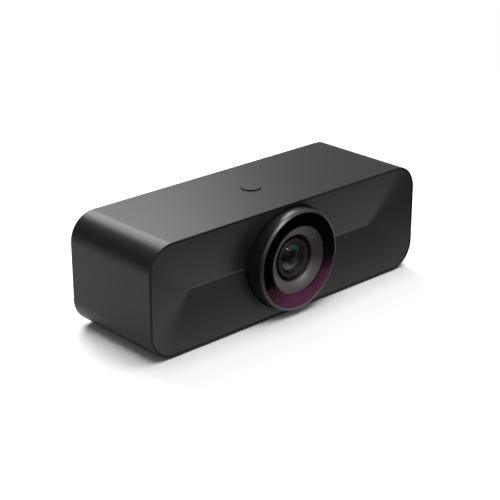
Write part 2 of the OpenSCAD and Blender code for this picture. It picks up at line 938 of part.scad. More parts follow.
module rear_cover() {
    face = cover_in - cover_t;
    color(graphite) difference() {
        slab(face, cover_in) outline(panel_edge_in);
        slab(face - over, cover_in + over) translate([port_x, port_z]) port_outline(port_clear);
        slab(face - over, cover_in + over)
            translate([lock_x, lock_z]) square([lock_w, lock_h], center = true);
        slab(face - over, cover_in + over)
            four_at(pillar_x, pillar_z) circle(r = screw_r + screw_clear);
        slab(face - over, face + rear_head_h)
            four_at(pillar_x, pillar_z) circle(r = rear_head_r + screw_clear);
    }
}

module rear_screws() {
    face = cover_in - cover_t;
    color(steel) for (side = [-1, 1], lift = [-1, 1])
        translate([side * pillar_x, 0, lift * pillar_z])
            screw_forward(face + rear_head_h, cover_t - rear_head_h + rear_screw_l - screw_clear,
                head_r = rear_head_r, head_h = rear_head_h);
}

// Steel plate behind the lock slot, which takes the lock's pull
module lock_bracket() {
    color(steel) slab(cover_in, cover_in + bracket_t) translate([lock_x, lock_z]) difference() {
        square([bracket_w, bracket_h], center = true);
        square([lock_w, lock_h], center = true);
    }
}

module tripod_insert() {
    color(brass) difference() {
        upright(0, 0, foot_h, foot_h + tripod_l, insert_r);
        upright(0, 0, foot_h - over, foot_h + tripod_l + over, tripod_r);
    }
}

module foot_pads() {
    color(black) for (side = [-1, 1], way = [-1, 1])
        upright(side * foot_x, button_y + way * foot_y, 0, foot_h + foot_sink, foot_r);
}

housing_sleeve();
front_panel();
lens_ring();
trim_ring();
window();
mask_ring();
lens_hood();
lens_barrel();
lens_retainer();
front_element();
element_spacer();
second_element();
aperture_stop();
middle_element();
rear_element();
lens_holder();
holder_screws();
ir_filter();
image_sensor();
sensor_board();
sensor_screws();
chassis();
panel_screws();
microphone_boards();
microphones();
microphone_gaskets();
microphone_cables();
main_board();
main_board_screws();
processor();
memory_chips();
thermal_pad();
heat_sink();
board_connectors();
sensor_cable();
usb_socket();
usb_tongue();
button_cap();
button_board();
button_screws();
switch_body();
switch_plunger();
switch_dome();
button_cable();
rear_cover();
rear_screws();
lock_bracket();
tripod_insert();
foot_pads();
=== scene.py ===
import json
import math

import bmesh
import bpy
from mathutils import Matrix, Vector

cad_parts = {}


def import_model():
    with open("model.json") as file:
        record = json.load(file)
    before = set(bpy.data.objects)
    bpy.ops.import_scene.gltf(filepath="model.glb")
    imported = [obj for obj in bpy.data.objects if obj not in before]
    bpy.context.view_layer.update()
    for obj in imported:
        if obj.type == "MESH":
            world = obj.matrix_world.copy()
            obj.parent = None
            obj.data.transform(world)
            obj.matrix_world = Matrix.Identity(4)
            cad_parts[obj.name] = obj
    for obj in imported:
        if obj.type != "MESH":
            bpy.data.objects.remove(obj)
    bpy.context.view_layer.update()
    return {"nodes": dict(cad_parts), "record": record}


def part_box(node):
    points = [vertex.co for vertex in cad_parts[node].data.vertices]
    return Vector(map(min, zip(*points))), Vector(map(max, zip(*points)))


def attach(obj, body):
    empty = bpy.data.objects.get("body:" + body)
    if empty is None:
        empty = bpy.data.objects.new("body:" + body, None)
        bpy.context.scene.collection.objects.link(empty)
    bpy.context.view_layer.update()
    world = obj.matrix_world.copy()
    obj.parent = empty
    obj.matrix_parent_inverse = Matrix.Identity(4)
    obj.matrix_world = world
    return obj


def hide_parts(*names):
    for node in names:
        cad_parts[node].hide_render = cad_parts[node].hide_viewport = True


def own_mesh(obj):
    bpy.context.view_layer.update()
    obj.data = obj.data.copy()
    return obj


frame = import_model()
SLOT_OF = {part["node"]: part["material_slot"] for part in frame["record"]["subparts"]}
BODY_OF = {node: body for body, nodes in frame["record"]["behaviour"]["bodies"].items() for node in nodes}

# Places that the frame gives, in metres
MM = 0.001
HOUSING_LOW, HOUSING_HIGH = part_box("housing_sleeve")
RIM_Y = HOUSING_LOW.y
BACK_Y = HOUSING_HIGH.y
BASE_Z = HOUSING_LOW.z
TOP_Z = HOUSING_HIGH.z
AXIS_Z = (BASE_Z + TOP_Z) / 2
HALF_W = HOUSING_HIGH.x
HALF_H = (TOP_Z - BASE_Z) / 2
COVER_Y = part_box("rear_cover")[0].y
BUTTON_LOW, BUTTON_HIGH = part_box("button_cap")
BUTTON_Y = (BUTTON_LOW.y + BUTTON_HIGH.y) / 2
SWITCH_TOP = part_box("button_board")[1].z
PAD_LOW, PAD_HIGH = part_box("foot_pads")

# Directions
LENS_AXIS = Vector((0, -1, 0))
UP = Vector((0, 0, 1))
ACROSS = Vector((1, 0, 0))
LENS_FOOT = Vector((0, RIM_Y, AXIS_Z))

# Room between pieces, reach of a cutting tool past its work, and tolerances
SLIP = 0.1 * MM
OVER = 1 * MM
NEAR = MM / 100
MERGE = MM / 1000
SHARP = math.radians(32)
FLAT = math.radians(0.5)

# Sides of round shapes
LENS_SIDES = 144
BUTTON_SIDES = 128
ROD_SIDES = 96
SCREW_SIDES = 48

# Housing
CORNER_R = 14.6 * MM
CORNER_STEPS = 40
WALL = 2.2 * MM
RIM = 0.9 * MM
FRONT_SEAT = 6.5 * MM
LIP_ROUND = 0.38 * MM
INSERT_HOLE_R = 5 * MM
INSERT_HOLE_DEEP = 8.5 * MM
INSERT_BOSS_R = 7.5 * MM
INSERT_BOSS_TALL = 9.7 * MM
POST_X = 10.5 * MM
POST_R = 2.4 * MM
POST_PILOT_DEEP = 5 * MM
PILOT_R = 1.1 * MM
PAD_R = 6 * MM
PADS = [(x, y) for x in (PAD_LOW.x + PAD_R, PAD_HIGH.x - PAD_R)
        for y in (PAD_LOW.y + PAD_R, PAD_HIGH.y - PAD_R)]

# Button
BUTTON_HOLE_R = 5.5 * MM
BUTTON_R = 5.2 * MM
BUTTON_STEM_R = 1.7 * MM
BUTTON_TALL = 3.85 * MM
BUTTON_SKIRT = 0.9 * MM

# Front panel
PANEL_IN = 1.2 * MM
PANEL_INNER_IN = 2.5 * MM
PANEL_RECESS = 0.3 * MM
PANEL_SKIN = 2.2 * MM
PANEL_LIP = 1.5 * MM
PANEL_BACK = -7.7 * MM
PANEL_BOSS_R = 3 * MM
PANEL_PILOT_DEEP = 2.6 * MM
PANEL_SCREWS = [(x, z) for x in (-74 * MM, 74 * MM) for z in (-14 * MM, 14 * MM)]
VALLEY_DEPTH = 5.5 * MM
VALLEY_W = 0.4 * MM
HIP_X = HALF_W - HALF_H

# The facets are shaded flat: their normals point forward more squarely than this
FACET_NORMAL_Y = -0.95

# Lens surround, as radii and depths in front of the rim
RING_R = 28 * MM
RING_GAP = 0.35 * MM
RING_FRONT_R = 27.45 * MM
RING_TAIL_R = 27.65 * MM
RING_BORE_R = 24 * MM
RING_BACK = -10.3 * MM
RING_OUT = 6 * MM
TRIM_BACK = 5 * MM
TRIM_CHAMFER = 0.25 * MM
WINDOW_R = 25.85 * MM
WINDOW_FRONT = 5.9 * MM
WINDOW_BACK = 5.1 * MM
MASK_BACK = 4.8 * MM
LEDGE_OUT = 3.8 * MM
HOOD_MOUTH_R = 18.5 * MM
HOOD_THROAT_R = 12.8 * MM
HOOD_WALL = 1.4 * MM
THROAT_OUT = 1.7 * MM
HOOD_END = -3.3 * MM

# Front element and the stepped ring that holds it
SIGHT_R = 7.2 * MM
SIGHT_OUT = -1.1 * MM
GLASS_R = 8.35 * MM
GLASS_BACK = -4.2 * MM
DOME_R = 13 * MM
HOLLOW_R = 8 * MM
HOLLOW_MOUTH_R = 6 * MM
ARC_STEPS = 24
RETAINER_R = 9 * MM
RETAINER_OUT = 0.8 * MM
RETAINER_LAND = 0.3 * MM
STAIRS = 4
STAIR_FOOT = 0.35 * MM
STAIR_TILT = 0.075 * MM


# Shader maths
class Field:
    """A value that may change over a surface. Sums and products of it add Math nodes."""

    def __init__(self, nodes, socket):
        self.nodes = nodes
        self.socket = socket

    def math(self, operation, *values):
        """A Math node on fields or numbers."""
        return self.nodes.add("ShaderNodeMath", {"operation": operation}, dict(enumerate(values)))

    def __add__(self, other):
        return self.math("ADD", self, other)

    def __radd__(self, other):
        return self.math("ADD", other, self)

    def __sub__(self, other):
        return self.math("SUBTRACT", self, other)

    def __rsub__(self, other):
        return self.math("SUBTRACT", other, self)

    def __mul__(self, other):
        return self.math("MULTIPLY", self, other)

    def __rmul__(self, other):
        return self.math("MULTIPLY", other, self)

    def __abs__(self):
        return self.math("ABSOLUTE", self)

    def root(self):
        """The square root."""
        return self.math("SQRT", self)

    def larger(self, other):
        """The larger of two values."""
        return self.math("MAXIMUM", self, other)

    def within(self, low, high):
        """0 at low, 1 at high, with a smooth step between them."""
        return self.nodes.add("ShaderNodeMapRange", {"interpolation_type": "SMOOTHSTEP"},
                              {"Value": self, "From Min": low, "From Max": high})


class Nodes:
    """A tree of shader nodes, with one way to add a node and one way to fill its sockets."""

    def __init__(self, tree):
        self.tree = tree

    def fill(self, node, sockets):
        """Values or links for a node's sockets."""
        for key, value in sockets.items():
            if isinstance(value, Field):
                self.tree.links.new(value.socket, node.inputs[key])
            else:
                node.inputs[key].default_value = value

    def add(self, kind, settings=None, inputs=None, output=0):
        """A node with its settings and the values or links of its sockets. Gives one output."""
        node = self.tree.nodes.new(kind)
        for key, value in (settings or {}).items():
            setattr(node, key, value)
        self.fill(node, inputs or {})
        return Field(self, node.outputs[output])

    def seen(self):
        """1 where the camera looks, also in gloss and through glass, and 0 in light on the object."""
        straight, glossy, through = [self.add("ShaderNodeLightPath", output="Is %s Ray" % way)
                                     for way in ("Camera", "Glossy", "Transmission")]
        return straight.larger(glossy.larger(through))


class Finish(Nodes):
    """One material: a Principled shader with procedural colour, gloss and grain."""

    def __init__(self, name, metallic=0.0, specular=0.5, **sockets):
        self.material = bpy.data.materials.new(name)
        self.material.use_nodes = True
        super().__init__(self.material.node_tree)
        self.shader = self.tree.nodes["Principled BSDF"]
        self.feed(Metallic=metallic, Specular_IOR_Level=specular, **sockets)
        self.place = self.add("ShaderNodeTexCoord", output="Object")

    def feed(self, **sockets):
        """Values or links for the shader, with underscores for the spaces in a socket's name."""
        self.fill(self.shader, {name.replace("_", " "): value for name, value in sockets.items()})
        return self

    def along(self, axis):
        """One object coordinate, in metres."""
        return self.add("ShaderNodeSeparateXYZ", inputs={0: self.place}, output=axis)

    def lift(self):
        """Height over the lens axis, in metres."""
        return self.along("Z") - AXIS_Z

    def noise(self, size, detail=2.0):
        """Noise from 0 to 1 whose lumps have a size in metres."""
        return self.add("ShaderNodeTexNoise",
                        inputs={"Vector": self.place, "Scale": 1 / size, "Detail": detail})

    def blend(self, factor, first, second):
        """One colour turning into another."""
        return self.add("ShaderNodeMix", {"data_type": "RGBA"}, {0: factor, 6: first, 7: second}, output=2)

    def grain(self, height, depth):
        """Fine relief of the given depth in metres."""
        bump = self.add("ShaderNodeBump", inputs={"Height": height, "Distance": depth, "Strength": 1.0})
        return self.feed(Normal=bump)


def distance(first, second):
    """Distance from an axis, out of two coordinates across it."""
    return (first * first + second * second).root()


def tone(red, green, blue):
    """A colour for a socket."""
    return (red, green, blue, 1)


def grey(level):
    """A grey for a socket."""
    return tone(level, level, level)


# Finishes
CLOUD = 9 * MM
SPECKLE = 0.12
MARKS_APART = 0.754 * MM

# A wave texture turns by this many radians over one unit of its scaled coordinate
WAVE_TURN = 20


def plain_finish(name, colour, roughness, metallic=0.0, specular=0.5, size=0.4 * MM, depth=0.01 * MM):
    """A moulded, cast or plated surface: faint cloudy colour, uneven gloss and a fine grain."""
    finish = Finish(name, metallic, specular)
    cloud = finish.noise(CLOUD, detail=3)
    fine = finish.noise(size)
    darker = tone(*[level * (1 - SPECKLE) for level in colour])
    lighter = tone(*[level * (1 + SPECKLE) for level in colour])
    finish.feed(Base_Color=finish.blend(cloud * 0.5 + fine * 0.5, darker, lighter),
                Roughness=roughness + (cloud - 0.5) * 0.08 + (fine - 0.5) * 0.06)
    return finish.grain(fine, depth).material


def housing_paint():
    """Fine-blasted metal under a thin dark coat."""
    finish = Finish("housing_finish", specular=0.125)
    blast = finish.noise(0.22 * MM, detail=3)
    cloud = finish.noise(14 * MM, detail=2)
    speckle = blast.within(0.35, 0.7) * 0.6 + cloud * 0.4
    finish.feed(Base_Color=finish.blend(speckle, tone(0.0093, 0.0094, 0.0096), tone(0.0132, 0.0134, 0.0137)),
                Roughness=0.36 + (blast - 0.5) * 0.10 + (cloud - 0.5) * 0.04)
    return finish.grain(blast, depth=0.006 * MM).material


def panel_plastic():
    """Satin moulded plastic with a very fine grain, and a painted highlight along the valley of the facets.
    """
    finish = Finish("panel_plastic", specular=0.38)
    grain = finish.noise(0.18 * MM, detail=2)
    cloud = finish.noise(20 * MM, detail=2)
    in_front = finish.along("Y").within(0, RIM_Y / 2)
    between_hips = abs(finish.along("X")).within(HIP_X + 0.3 * MM, HIP_X - 0.3 * MM)
    on_valley = abs(finish.lift()).within(0.45 * MM, 0.15 * MM)
    # Painted highlight: a thin pale line along the valley, at the front of the panel.
    painted_valley_highlight = in_front * between_hips * on_valley
    plain = finish.blend(grain * 0.5 + cloud * 0.5, tone(0.0070, 0.0071, 0.0073),
                         tone(0.0100, 0.0102, 0.0105))
    finish.feed(Base_Color=finish.blend(painted_valley_highlight, plain, tone(0.050, 0.051, 0.052)),
                Roughness=0.34 + (grain - 0.5) * 0.08 + (cloud - 0.5) * 0.04)
    return finish.grain(grain, depth=0.004 * MM).material


def trim_metal():
    """Turned ring: faint circular tool marks round the lens axis."""
    finish = Finish("trim_satin", specular=0.56)
    radius = finish.add("ShaderNodeCombineXYZ", inputs={0: distance(finish.along("X"), finish.lift())})
    scale = 2 * math.pi / MARKS_APART / WAVE_TURN
    marks = finish.add("ShaderNodeTexWave", {"bands_direction": "X"},
                       {"Vector": radius, "Scale": scale, "Distortion": 0.0})
    fine = finish.noise(0.3 * MM)
    finish.feed(Base_Color=finish.blend(fine, grey(0.005), grey(0.008)),
                Roughness=0.30 + (fine - 0.5) * 0.08 + marks * 0.05)
    return finish.grain(marks * 0.4 + fine * 0.6, depth=0.002 * MM).material


def hood_plastic():
    """Satin plastic of the cone, darker over the lens axis, with painted light turning it grey under it."""
    finish = Finish("hood_satin", specular=0.42)
    # Painted light: the cone turns grey towards its underside, where it faces the lamps above.
    painted_light_below = finish.lift().within(-1 * MM, -12 * MM)
    fine = finish.noise(0.2 * MM)
    cloud = finish.noise(CLOUD, detail=3)
    finish.feed(Base_Color=finish.blend(painted_light_below * 0.85 + fine * 0.1, tone(0.012, 0.0125, 0.0118),
                                        tone(0.078, 0.081, 0.078)),
                Roughness=0.31 + cloud * 0.04)
    return finish.grain(fine, depth=0.002 * MM).material


def window_glass():
    """Flat coated glass: clear, with a painted magenta reflection of its coating over its lower half."""
    finish = Finish("window_glass", specular=0.05, Roughness=0.04)
    side = finish.along("X")
    lift = finish.lift()
    # Painted reflection: a magenta veil that thickens towards the bottom of the window and is strongest over
    # the band at the hood's mouth.
    low = (lift * -1 + side * 0.12).within(2 * MM, 27 * MM)
    painted_reflection_band = distance(side, lift).within(HOOD_MOUTH_R - 0.3 * MM, HOOD_MOUTH_R + 0.3 * MM)
    ripple = finish.noise(30 * MM, detail=1)
    finish.feed(Base_Color=finish.blend(ripple, tone(0.200, 0.057, 0.125), tone(0.232, 0.064, 0.142)),
                Alpha=low * (0.09 + painted_reflection_band * 0.37) + 0.006)
    return finish.material


def element_glass():
    """Dark coated glass: near-black and polished, with a painted teal reflection over its upper right and
    painted grey light over its lower part.
    """
    finish = Finish("lens_glass", specular=0.13, Roughness=0.03)
    side = finish.along("X")
    lift = finish.lift()
    outer = distance(side, lift).within(3.2 * MM, 5.4 * MM)
    # Painted light: a grey glow over the lower part of the element, and a painted teal reflection over its
    # upper right, both in a ring round the middle.
    low = outer * (lift * -1).within(0.5 * MM, 5.5 * MM)
    high = outer * (side * 0.6 + lift * 0.8).within(2.5 * MM, 5.8 * MM)
    painted_teal_reflection = finish.blend(high, tone(0.0030, 0.0035, 0.0035), tone(0.013, 0.075, 0.056))
    finish.feed(Base_Color=finish.blend(low, painted_teal_reflection, tone(0.110, 0.110, 0.105)))
    return finish.material


def filter_glass():
    """Thin blue-green glass over the sensor."""
    finish = Finish("filter_glass", specular=0.2, IOR=1.5, Transmission_Weight=1.0)
    faint = finish.noise(6 * MM, detail=1)
    finish.feed(Base_Color=finish.blend(faint, tone(0.35, 0.62, 0.7), tone(0.315, 0.558, 0.63)),
                Roughness=faint * 0.004)
    return finish.material


# Colour, roughness and what else differs from a plain moulding
PLAIN_FINISHES = {
    "ring_gloss": ((0.002, 0.002, 0.0022), 0.36, {"size": 0.25 * MM, "depth": 0.002 * MM}),
    "mask_black": ((0.0012, 0.0012, 0.0012), 0.6, {"specular": 0.0, "size": 0.2 * MM, "depth": 0.0}),
    "lens_black": ((0.008, 0.008, 0.0085), 0.30, {"specular": 0.25, "size": 0.15 * MM, "depth": 0.002 * MM}),
    "retainer_black": ((0.004, 0.004, 0.0045), 0.32,
                       {"specular": 0.10, "size": 0.15 * MM, "depth": 0.002 * MM}),
    "inner_black": ((0.02, 0.02, 0.021), 0.55, {}),
    "sensor_dark": ((0.02, 0.026, 0.032), 0.15, {}),
    "board_green": ((0.015, 0.075, 0.04), 0.35, {}),
    "chip_black": ((0.015, 0.015, 0.016), 0.5, {}),
    "steel": ((0.52, 0.52, 0.53), 0.30, {"metallic": 1.0, "size": 0.15 * MM}),
    "brass": ((0.62, 0.44, 0.17), 0.28, {"metallic": 1.0, "size": 0.15 * MM}),
    "sink_metal": ((0.5, 0.5, 0.51), 0.4, {"metallic": 1.0}),
    "pad_grey": ((0.22, 0.25, 0.28), 0.8, {}),
    "rubber_black": ((0.014, 0.014, 0.014), 0.75, {"depth": 0.02 * MM}),
    "connector_cream": ((0.6, 0.56, 0.47), 0.45, {}),
    "flex_amber": ((0.38, 0.17, 0.04), 0.25, {}),
}
FINISHES = {name: plain_finish(name, colour, roughness, **more)
            for name, (colour, roughness, more) in PLAIN_FINISHES.items()}
FINISHES.update({
    "housing_finish": housing_paint(),
    "panel_plastic": panel_plastic(),
    "trim_satin": trim_metal(),
    "hood_satin": hood_plastic(),
    "window_glass": window_glass(),
    "lens_glass": element_glass(),
    "filter_glass": filter_glass(),
})

# Pieces round the lens that are blacker than their slot's other pieces
BLACKER = {"element_spacer": "mask_black", "aperture_stop": "mask_black", "lens_retainer": "retainer_black"}


def finish_of(node):
    """The material of a CAD node, or of the piece that stands for it."""
    return FINISHES[BLACKER.get(node, SLOT_OF[node])]


# Shapes
def lathe(profile, foot=LENS_FOOT, axis=LENS_AXIS, sides=LENS_SIDES):
    """A closed outline of (radius, height) points turned about an axis."""
    bm = bmesh.new()
    points = [bm.verts.new(foot + ACROSS * r + axis * h) for r, h in profile]
    edges = [bm.edges.new(pair) for pair in zip(points, points[1:] + points[:1])]
    bmesh.ops.spin(bm, geom=points + edges, cent=foot, axis=axis, angle=2 * math.pi, steps=sides,
                   use_merge=True)
    bmesh.ops.remove_doubles(bm, verts=bm.verts, dist=MERGE)
    loose = [edge for edge in bm.edges if not edge.link_faces]
    bmesh.ops.delete(bm, geom=loose, context="EDGES")
    bmesh.ops.recalc_face_normals(bm, faces=bm.faces)
    return bm


def arc(radius, centre, start_r, end_r):
    """Points of a sphere's outline between two radii, as (radius, height)."""
    radii = [start_r + (end_r - start_r) * i / ARC_STEPS for i in range(ARC_STEPS + 1)]
    return [(r, centre + math.sqrt(radius * radius - r * r)) for r in radii]


def outline_face(bm, inset, out):
    """The housing's rounded outline, taken in by an inset, as one face at a depth."""
    corners = bmesh.ops.create_grid(bm, x_segments=1, y_segments=1, size=1)["verts"]
    bmesh.ops.scale(bm, vec=(HALF_W - inset, HALF_H - inset, 1), verts=corners)
    bmesh.ops.rotate(bm, cent=(0, 0, 0), matrix=Matrix.Rotation(math.pi / 2, 3, "X"), verts=corners)
    bmesh.ops.translate(bm, vec=(0, RIM_Y - out, AXIS_Z), verts=corners)
    bmesh.ops.bevel(bm, geom=corners, offset=CORNER_R - inset, segments=CORNER_STEPS, profile=0.5,
                    affect="VERTICES", material=-1)
    return bm.faces[:][-1]


def grow(bm, face, out):
    """The face pushed to another depth, with walls behind it."""
    grown = bmesh.ops.extrude_face_region(bm, geom=[face])["geom"]
    points = [item for item in grown if isinstance(item, bmesh.types.BMVert)]
    bmesh.ops.translate(bm, vec=(0, RIM_Y - out - points[0].co.y, 0), verts=points)
    return [item for item in grown if isinstance(item, bmesh.types.BMFace)][0]


def sink(bm, cap, inset, out):
    """The cap taken in by an inset and pushed to another depth, as a stepped pocket."""
    bmesh.ops.inset_region(bm, faces=[cap], thickness=inset, use_even_offset=True, use_boundary=True)
    deeper = grow(bm, cap, out)
    bmesh.ops.delete(bm, geom=[cap], context="FACES_ONLY")
    return deeper


def roof(bm, cap, out):
    """The cap drawn into a level ridge or valley: its left and right half end in one point each."""
    points = [item for item in bmesh.ops.extrude_face_region(bm, geom=[cap])["geom"]
              if isinstance(item, bmesh.types.BMVert)]
    bmesh.ops.delete(bm, geom=[cap], context="FACES_ONLY")
    halves = [(side, [point for point in points if point.co.x * side > 0]) for side in (-1, 1)]
    for side, half in halves:
        bmesh.ops.pointmerge(bm, verts=half, merge_co=(side * HIP_X, RIM_Y - out, AXIS_Z))
    bmesh.ops.recalc_face_normals(bm, faces=bm.faces)
    return bm


def block(inset, back, front):
    """A block with the housing's outline."""
    bm = bmesh.new()
    grow(bm, outline_face(bm, inset, back), front)
    bmesh.ops.recalc_face_normals(bm, faces=bm.faces)
    return bm


def faceted_block(inset, back, brim, valley):
    """A block with the housing's outline whose front goes from its brim down to a level valley."""
    bm = bmesh.new()
    return roof(bm, grow(bm, outline_face(bm, inset, back), brim), valley)


def add_rod(bm, radius, start, end, sides=ROD_SIDES):
    """A round rod between two points, beside what the mesh already holds."""
    start, end = Vector(start), Vector(end)
    way = end - start
    turn = UP.rotation_difference(way).to_matrix().to_4x4()
    bmesh.ops.create_cone(bm, cap_ends=True, segments=sides, radius1=radius, radius2=radius,
                          depth=way.length, matrix=Matrix.Translation((start + end) / 2) @ turn)
    return bm


def upright(radius, x, y, low, high, sides=ROD_SIDES):
    """A round rod that stands upright."""
    return add_rod(bmesh.new(), radius, (x, y, low), (x, y, high), sides)


def lens_rod(radius, back, front, x=0, z=0, sides=LENS_SIDES):
    """A round rod along the lens axis, or beside it."""
    return add_rod(bmesh.new(), radius, (x, RIM_Y - back, AXIS_Z + z), (x, RIM_Y - front, AXIS_Z + z), sides)


def put_in_scene(name, data):
    """A mesh, lamp or camera as an object of the scene."""
    thing = bpy.data.objects.new(name, data)
    bpy.context.scene.collection.objects.link(thing)
    return thing


def mesh_object(name, bm):
    """A finished mesh as an object of the scene."""
    mesh = bpy.data.meshes.new(name)
    bm.to_mesh(mesh)
    bm.free()
    return put_in_scene(name, mesh)


def combine(bm, operation, *tools):
    """The solid once others are joined to it or cut from it."""
    for tool in tools:
        stock = mesh_object("stock", bm)
        other = mesh_object("tool", tool)
        modifier = stock.modifiers.new("combine", "BOOLEAN")
        modifier.operation = operation
        modifier.solver = "MANIFOLD"
        modifier.object = other
        shaped = stock.evaluated_get(bpy.context.evaluated_depsgraph_get())
        bm = bmesh.new()
        bm.from_mesh(bpy.data.meshes.new_from_object(shaped))
        for thing in (stock, other):
            bpy.data.objects.remove(thing)
    return bm


def cut(bm, *tools):
    """The solid with others cut from it."""
    return combine(bm, "DIFFERENCE", *tools)


def join(bm, *tools):
    """The solid with others joined to it."""
    return combine(bm, "UNION", *tools)


def sharp_edges(bm):
    """The edges at which two faces meet at more than the smooth angle."""
    return [edge for edge in bm.edges if len(edge.link_faces) == 2 and edge.calc_face_angle() > SHARP]


def round_edges(bm, edges, width, steps):
    """A round of one width along some edges."""
    bmesh.ops.bevel(bm, geom=edges, offset=width, segments=steps, profile=0.5, affect="EDGES",
                    clamp_overlap=True, material=-1)


def soften(bm, width, steps=2):
    """Small rounds on every sharp edge."""
    round_edges(bm, sharp_edges(bm), width, steps)
    return bm


def piece(name, bm, node):
    """A finished piece that stands for a CAD node, with its body, material slot and finish."""
    thing = mesh_object(name, bm)
    thing.data.shade_smooth()
    thing.data.set_sharp_from_angle(angle=SHARP)
    thing.data.materials.append(finish_of(node))
    weighted = thing.modifiers.new("flat_faces_first", "WEIGHTED_NORMAL")
    weighted.keep_sharp = True
    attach(thing, BODY_OF[node])
    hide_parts(node)
    return thing


def dressed(name, node, width):
    """A copy of a CAD node, merged into whole faces, with softened edges."""
    bm = bmesh.new()
    bm.from_mesh(frame["nodes"][node].data)
    bmesh.ops.remove_doubles(bm, verts=bm.verts, dist=MERGE)
    bmesh.ops.dissolve_limit(bm, angle_limit=FLAT, verts=bm.verts, edges=bm.edges)
    return piece(name, soften(bm, width), node)


# Pieces
def housing():
    """The sleeve: a tube with a stepped seat at each end, a boss, two posts and its holes."""
    bm = bmesh.new()
    cover_seat = RIM_Y - COVER_Y
    back = grow(bm, outline_face(bm, 0, 0), RIM_Y - BACK_Y)
    front = [face for face in bm.faces if abs(face.calc_center_median().y - RIM_Y) < NEAR][0]
    caps = []
    for cap, stairs in ((front, [(RIM, -FRONT_SEAT), (WALL - RIM, cover_seat)]),
                        (back, [(RIM, cover_seat)])):
        for inset, out in stairs:
            cap = sink(bm, cap, inset, out)
        caps.append(cap)
    loops = [edge for cap in caps for edge in cap.edges]
    bmesh.ops.delete(bm, geom=caps, context="FACES_ONLY")
    bmesh.ops.bridge_loops(bm, edges=loops)
    bmesh.ops.recalc_face_normals(bm, faces=bm.faces)
    boss = upright(INSERT_BOSS_R, 0, 0, BASE_Z + WALL / 2, BASE_Z + INSERT_BOSS_TALL)
    posts = [upright(POST_R, x, BUTTON_Y, SWITCH_TOP, TOP_Z - WALL / 2, SCREW_SIDES)
             for x in (-POST_X, POST_X)]
    pilots = [upright(PILOT_R, x, BUTTON_Y, SWITCH_TOP - OVER, SWITCH_TOP + POST_PILOT_DEEP, SCREW_SIDES)
              for x in (-POST_X, POST_X)]
    button_hole = upright(BUTTON_HOLE_R, 0, BUTTON_Y, TOP_Z - 2 * WALL, TOP_Z + OVER)
    insert_hole = upright(INSERT_HOLE_R, 0, 0, BASE_Z - OVER, BASE_Z + INSERT_HOLE_DEEP)
    pockets = [upright(PAD_R + SLIP, x, y, BASE_Z - OVER, PAD_HIGH.z) for x, y in PADS]
    bm = join(bm, boss, *posts)
    bm = cut(bm, button_hole, insert_hole, *pockets, *pilots)
    lip = [edge for edge in sharp_edges(bm) if all(abs(vert.co.y - RIM_Y) < NEAR for vert in edge.verts)]
    round_edges(bm, lip, LIP_ROUND, steps=3)
    piece("housing", soften(bm, width=0.22 * MM), "housing_sleeve")


def front_panel():
    """The sunken panel: four facets that meet in a level valley, a skin behind them and four bosses."""
    facets = faceted_block(PANEL_IN, -FRONT_SEAT, -PANEL_RECESS, -VALLEY_DEPTH)
    inner = block(PANEL_INNER_IN, PANEL_BACK, -FRONT_SEAT + SLIP)
    hollow = block(PANEL_INNER_IN + PANEL_LIP, PANEL_BACK - OVER, -PANEL_RECESS)
    skin = faceted_block(PANEL_IN, OVER, -PANEL_RECESS - PANEL_SKIN, -VALLEY_DEPTH - PANEL_SKIN)
    collar = lens_rod(RING_R + RING_GAP + PANEL_SKIN, 2 * PANEL_BACK, OVER)
    bosses = [lens_rod(PANEL_BOSS_R, RING_BACK, -VALLEY_DEPTH, x, z, SCREW_SIDES) for x, z in PANEL_SCREWS]
    pilots = [lens_rod(PILOT_R, RING_BACK - OVER, RING_BACK + PANEL_PILOT_DEEP, x, z, SCREW_SIDES)
              for x, z in PANEL_SCREWS]
    bm = cut(join(facets, inner), cut(hollow, skin, collar))
    bm = join(bm, *bosses)
    bm = cut(bm, lens_rod(RING_R + RING_GAP, RING_BACK - OVER, OVER), *pilots)
    valley = [edge for edge in bm.edges
              if all(math.hypot(vert.co.y - RIM_Y - VALLEY_DEPTH, vert.co.z - AXIS_Z) < NEAR
                     for vert in edge.verts)]
    round_edges(bm, valley, VALLEY_W / 2, steps=2)
    thing = piece("front_facets", soften(bm, width=0.2 * MM), "front_panel")
    for face in thing.data.polygons:
        face.use_smooth = face.normal.y > FACET_NORMAL_Y


